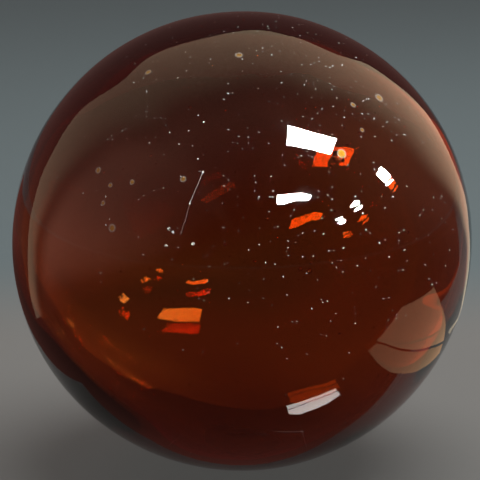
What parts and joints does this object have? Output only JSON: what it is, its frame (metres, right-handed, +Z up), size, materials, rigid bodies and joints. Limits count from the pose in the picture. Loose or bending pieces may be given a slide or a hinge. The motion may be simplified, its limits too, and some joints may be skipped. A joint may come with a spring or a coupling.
{
  "type": "witch ball",
  "caption": "Sealed ball of dark amber blown glass, slightly oval, with a small ground flat underneath that it rests on.",
  "frame": {"origin": "centre of the ground flat on the underside, on the plane that the ball rests on", "axes": "+Z up through the middle of the ball, +X to the right in the picture's view, and the picture's side faces -Y"},
  "size_m": [0.125, 0.125, 0.1242],
  "materials": {
    "amber_glass": "fire-polished gloss, see-through dark amber, with seeds and fine scratches"
  },
  "bodies": {
    "root": {"glass_ball": "amber_glass"}
  },
  "joints": []
}
